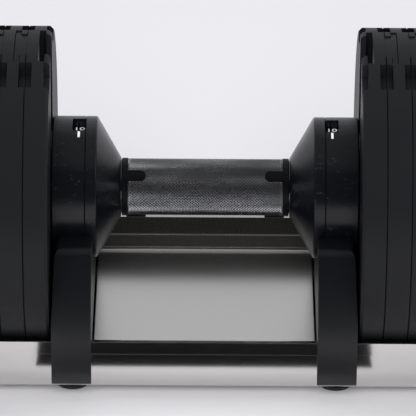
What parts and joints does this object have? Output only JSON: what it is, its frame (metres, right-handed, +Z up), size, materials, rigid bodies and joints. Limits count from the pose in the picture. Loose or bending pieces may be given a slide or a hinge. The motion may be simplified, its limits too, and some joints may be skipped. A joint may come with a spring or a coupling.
{
  "type": "adjustable dumbbell",
  "caption": "Dumbbell with round steel plates in a floor cradle; turning the knurled grip slides half-round bars out into the plates to choose the weight.",
  "frame": {"origin": "ground below the middle of the cradle, at the base of the rubber feet", "axes": "+X along the handle to the right, -Y towards the front, +Z up"},
  "size_m": [0.376, 0.18, 0.187],
  "materials": {
    "tray_steel": "mirror polished",
    "cradle_plastic": "satin",
    "foot_rubber": "matt",
    "bright_steel": "bright zinc",
    "bar_steel": "turned",
    "bronze": "plain bronze",
    "grip_steel": "satin, knurled",
    "collar_plastic": "gloss",
    "dial_plastic": "satin",
    "plate_coat": "fine powder coat"
  },
  "bodies": {
    "cradle": {"tray": "tray_steel", "centre_liner": "tray_steel", "saddle_left": "cradle_plastic", "saddle_right": "cradle_plastic", "rack_left": "cradle_plastic", "rack_right": "cradle_plastic", "end_cap_left": "cradle_plastic", "end_cap_right": "cradle_plastic", "rubber_feet": "foot_rubber", "foot_screws": "bright_steel", "cap_screws": "bright_steel"},
    "dumbbell": {"core_tube": "bright_steel", "end_block_left": "bar_steel", "end_block_right": "bar_steel", "collar_housing_left": "collar_plastic", "collar_housing_right": "collar_plastic", "collar_cone_left": "collar_plastic", "collar_cone_right": "collar_plastic", "collar_screws_left": "bright_steel", "collar_screws_right": "bright_steel", "thrust_washer_left": "bronze", "thrust_washer_right": "bronze", "button_spring_left": "bright_steel", "button_spring_right": "bright_steel", "detent_spring_left": "bright_steel", "detent_spring_right": "bright_steel"},
    "grip": {"grip_tube": "grip_steel", "grip_ring_left": "collar_plastic", "grip_ring_right": "collar_plastic", "cam_sleeve": "bar_steel", "dial_wheel_left": "dial_plastic", "dial_wheel_right": "dial_plastic"},
    "lock_bar_left": {"lock_bar_left": "bar_steel", "follower_pin_left": "bright_steel"},
    "lock_bar_right": {"lock_bar_right": "bar_steel", "follower_pin_right": "bright_steel"},
    "lock_button_left": {"lock_button_left": "collar_plastic"},
    "lock_button_right": {"lock_button_right": "collar_plastic"},
    "detent_ball_left": {"detent_ball_left": "bright_steel"},
    "detent_ball_right": {"detent_ball_right": "bright_steel"},
    "plate_left_1": {"plate_left_1": "plate_coat"},
    "plate_left_2": {"plate_left_2": "plate_coat"},
    "plate_left_3": {"plate_left_3": "plate_coat"},
    "plate_left_4": {"plate_left_4": "plate_coat"},
    "plate_left_5": {"plate_left_5": "plate_coat"},
    "plate_left_6": {"plate_left_6": "plate_coat"},
    "plate_left_7": {"plate_left_7": "plate_coat"},
    "plate_right_1": {"plate_right_1": "plate_coat"},
    "plate_right_2": {"plate_right_2": "plate_coat"},
    "plate_right_3": {"plate_right_3": "plate_coat"},
    "plate_right_4": {"plate_right_4": "plate_coat"},
    "plate_right_5": {"plate_right_5": "plate_coat"},
    "plate_right_6": {"plate_right_6": "plate_coat"},
    "plate_right_7": {"plate_right_7": "plate_coat"}
  },
  "joints": [
    {"name": "dumbbell_lift", "type": "slide", "parent": "cradle", "child": "dumbbell", "axis": [0, 0, 1], "range_m": [0, 0.25]},
    {"name": "grip_turn", "type": "hinge", "parent": "dumbbell", "child": "grip", "pos_m": [0, 0, 0.097], "axis": [1, 0, 0], "range_deg": [0, 280]},
    {"name": "lock_bar_slide_left", "type": "slide", "parent": "dumbbell", "child": "lock_bar_left", "axis": [-1, 0, 0], "range_m": [0, 0.0946]},
    {"name": "lock_bar_slide_right", "type": "slide", "parent": "dumbbell", "child": "lock_bar_right", "axis": [1, 0, 0], "range_m": [0, 0.0946]},
    {"name": "lock_button_drop_left", "type": "slide", "parent": "dumbbell", "child": "lock_button_left", "axis": [0, 0, -1], "range_m": [0, 0.00301]},
    {"name": "lock_button_drop_right", "type": "slide", "parent": "dumbbell", "child": "lock_button_right", "axis": [0, 0, -1], "range_m": [0, 0.00301]},
    {"name": "detent_click_left", "type": "slide", "parent": "dumbbell", "child": "detent_ball_left", "axis": [1, 0, 0], "range_m": [0, 0.0008], "stiffness_N_per_m": 400},
    {"name": "detent_click_right", "type": "slide", "parent": "dumbbell", "child": "detent_ball_right", "axis": [-1, 0, 0], "range_m": [0, 0.0008], "stiffness_N_per_m": 400},
    {"name": "plate_lift_left_1", "type": "slide", "parent": "cradle", "child": "plate_left_1", "axis": [0, 0, 1], "range_m": [0, 0.25]},
    {"name": "plate_lift_left_2", "type": "slide", "parent": "cradle", "child": "plate_left_2", "axis": [0, 0, 1], "range_m": [0, 0.25]},
    {"name": "plate_lift_left_3", "type": "slide", "parent": "cradle", "child": "plate_left_3", "axis": [0, 0, 1], "range_m": [0, 0.25]},
    {"name": "plate_lift_left_4", "type": "slide", "parent": "cradle", "child": "plate_left_4", "axis": [0, 0, 1], "range_m": [0, 0.25]},
    {"name": "plate_lift_left_5", "type": "slide", "parent": "cradle", "child": "plate_left_5", "axis": [0, 0, 1], "range_m": [0, 0.25]},
    {"name": "plate_lift_left_6", "type": "slide", "parent": "cradle", "child": "plate_left_6", "axis": [0, 0, 1], "range_m": [0, 0.25]},
    {"name": "plate_lift_left_7", "type": "slide", "parent": "cradle", "child": "plate_left_7", "axis": [0, 0, 1], "range_m": [0, 0.25]},
    {"name": "plate_lift_right_1", "type": "slide", "parent": "cradle", "child": "plate_right_1", "axis": [0, 0, 1], "range_m": [0, 0.25]},
    {"name": "plate_lift_right_2", "type": "slide", "parent": "cradle", "child": "plate_right_2", "axis": [0, 0, 1], "range_m": [0, 0.25]},
    {"name": "plate_lift_right_3", "type": "slide", "parent": "cradle", "child": "plate_right_3", "axis": [0, 0, 1], "range_m": [0, 0.25]},
    {"name": "plate_lift_right_4", "type": "slide", "parent": "cradle", "child": "plate_right_4", "axis": [0, 0, 1], "range_m": [0, 0.25]},
    {"name": "plate_lift_right_5", "type": "slide", "parent": "cradle", "child": "plate_right_5", "axis": [0, 0, 1], "range_m": [0, 0.25]},
    {"name": "plate_lift_right_6", "type": "slide", "parent": "cradle", "child": "plate_right_6", "axis": [0, 0, 1], "range_m": [0, 0.25]},
    {"name": "plate_lift_right_7", "type": "slide", "parent": "cradle", "child": "plate_right_7", "axis": [0, 0, 1], "range_m": [0, 0.25]}
  ],
  "couplings": [
    {"joint": "lock_bar_slide_left", "follows": "grip_turn", "m_per_rad": 0.019337},
    {"joint": "lock_bar_slide_right", "follows": "grip_turn", "m_per_rad": 0.019337},
    {"joint": "lock_button_drop_left", "follows": "dumbbell_lift", "ratio": 0.012},
    {"joint": "lock_button_drop_right", "follows": "dumbbell_lift", "ratio": 0.012}
  ]
}
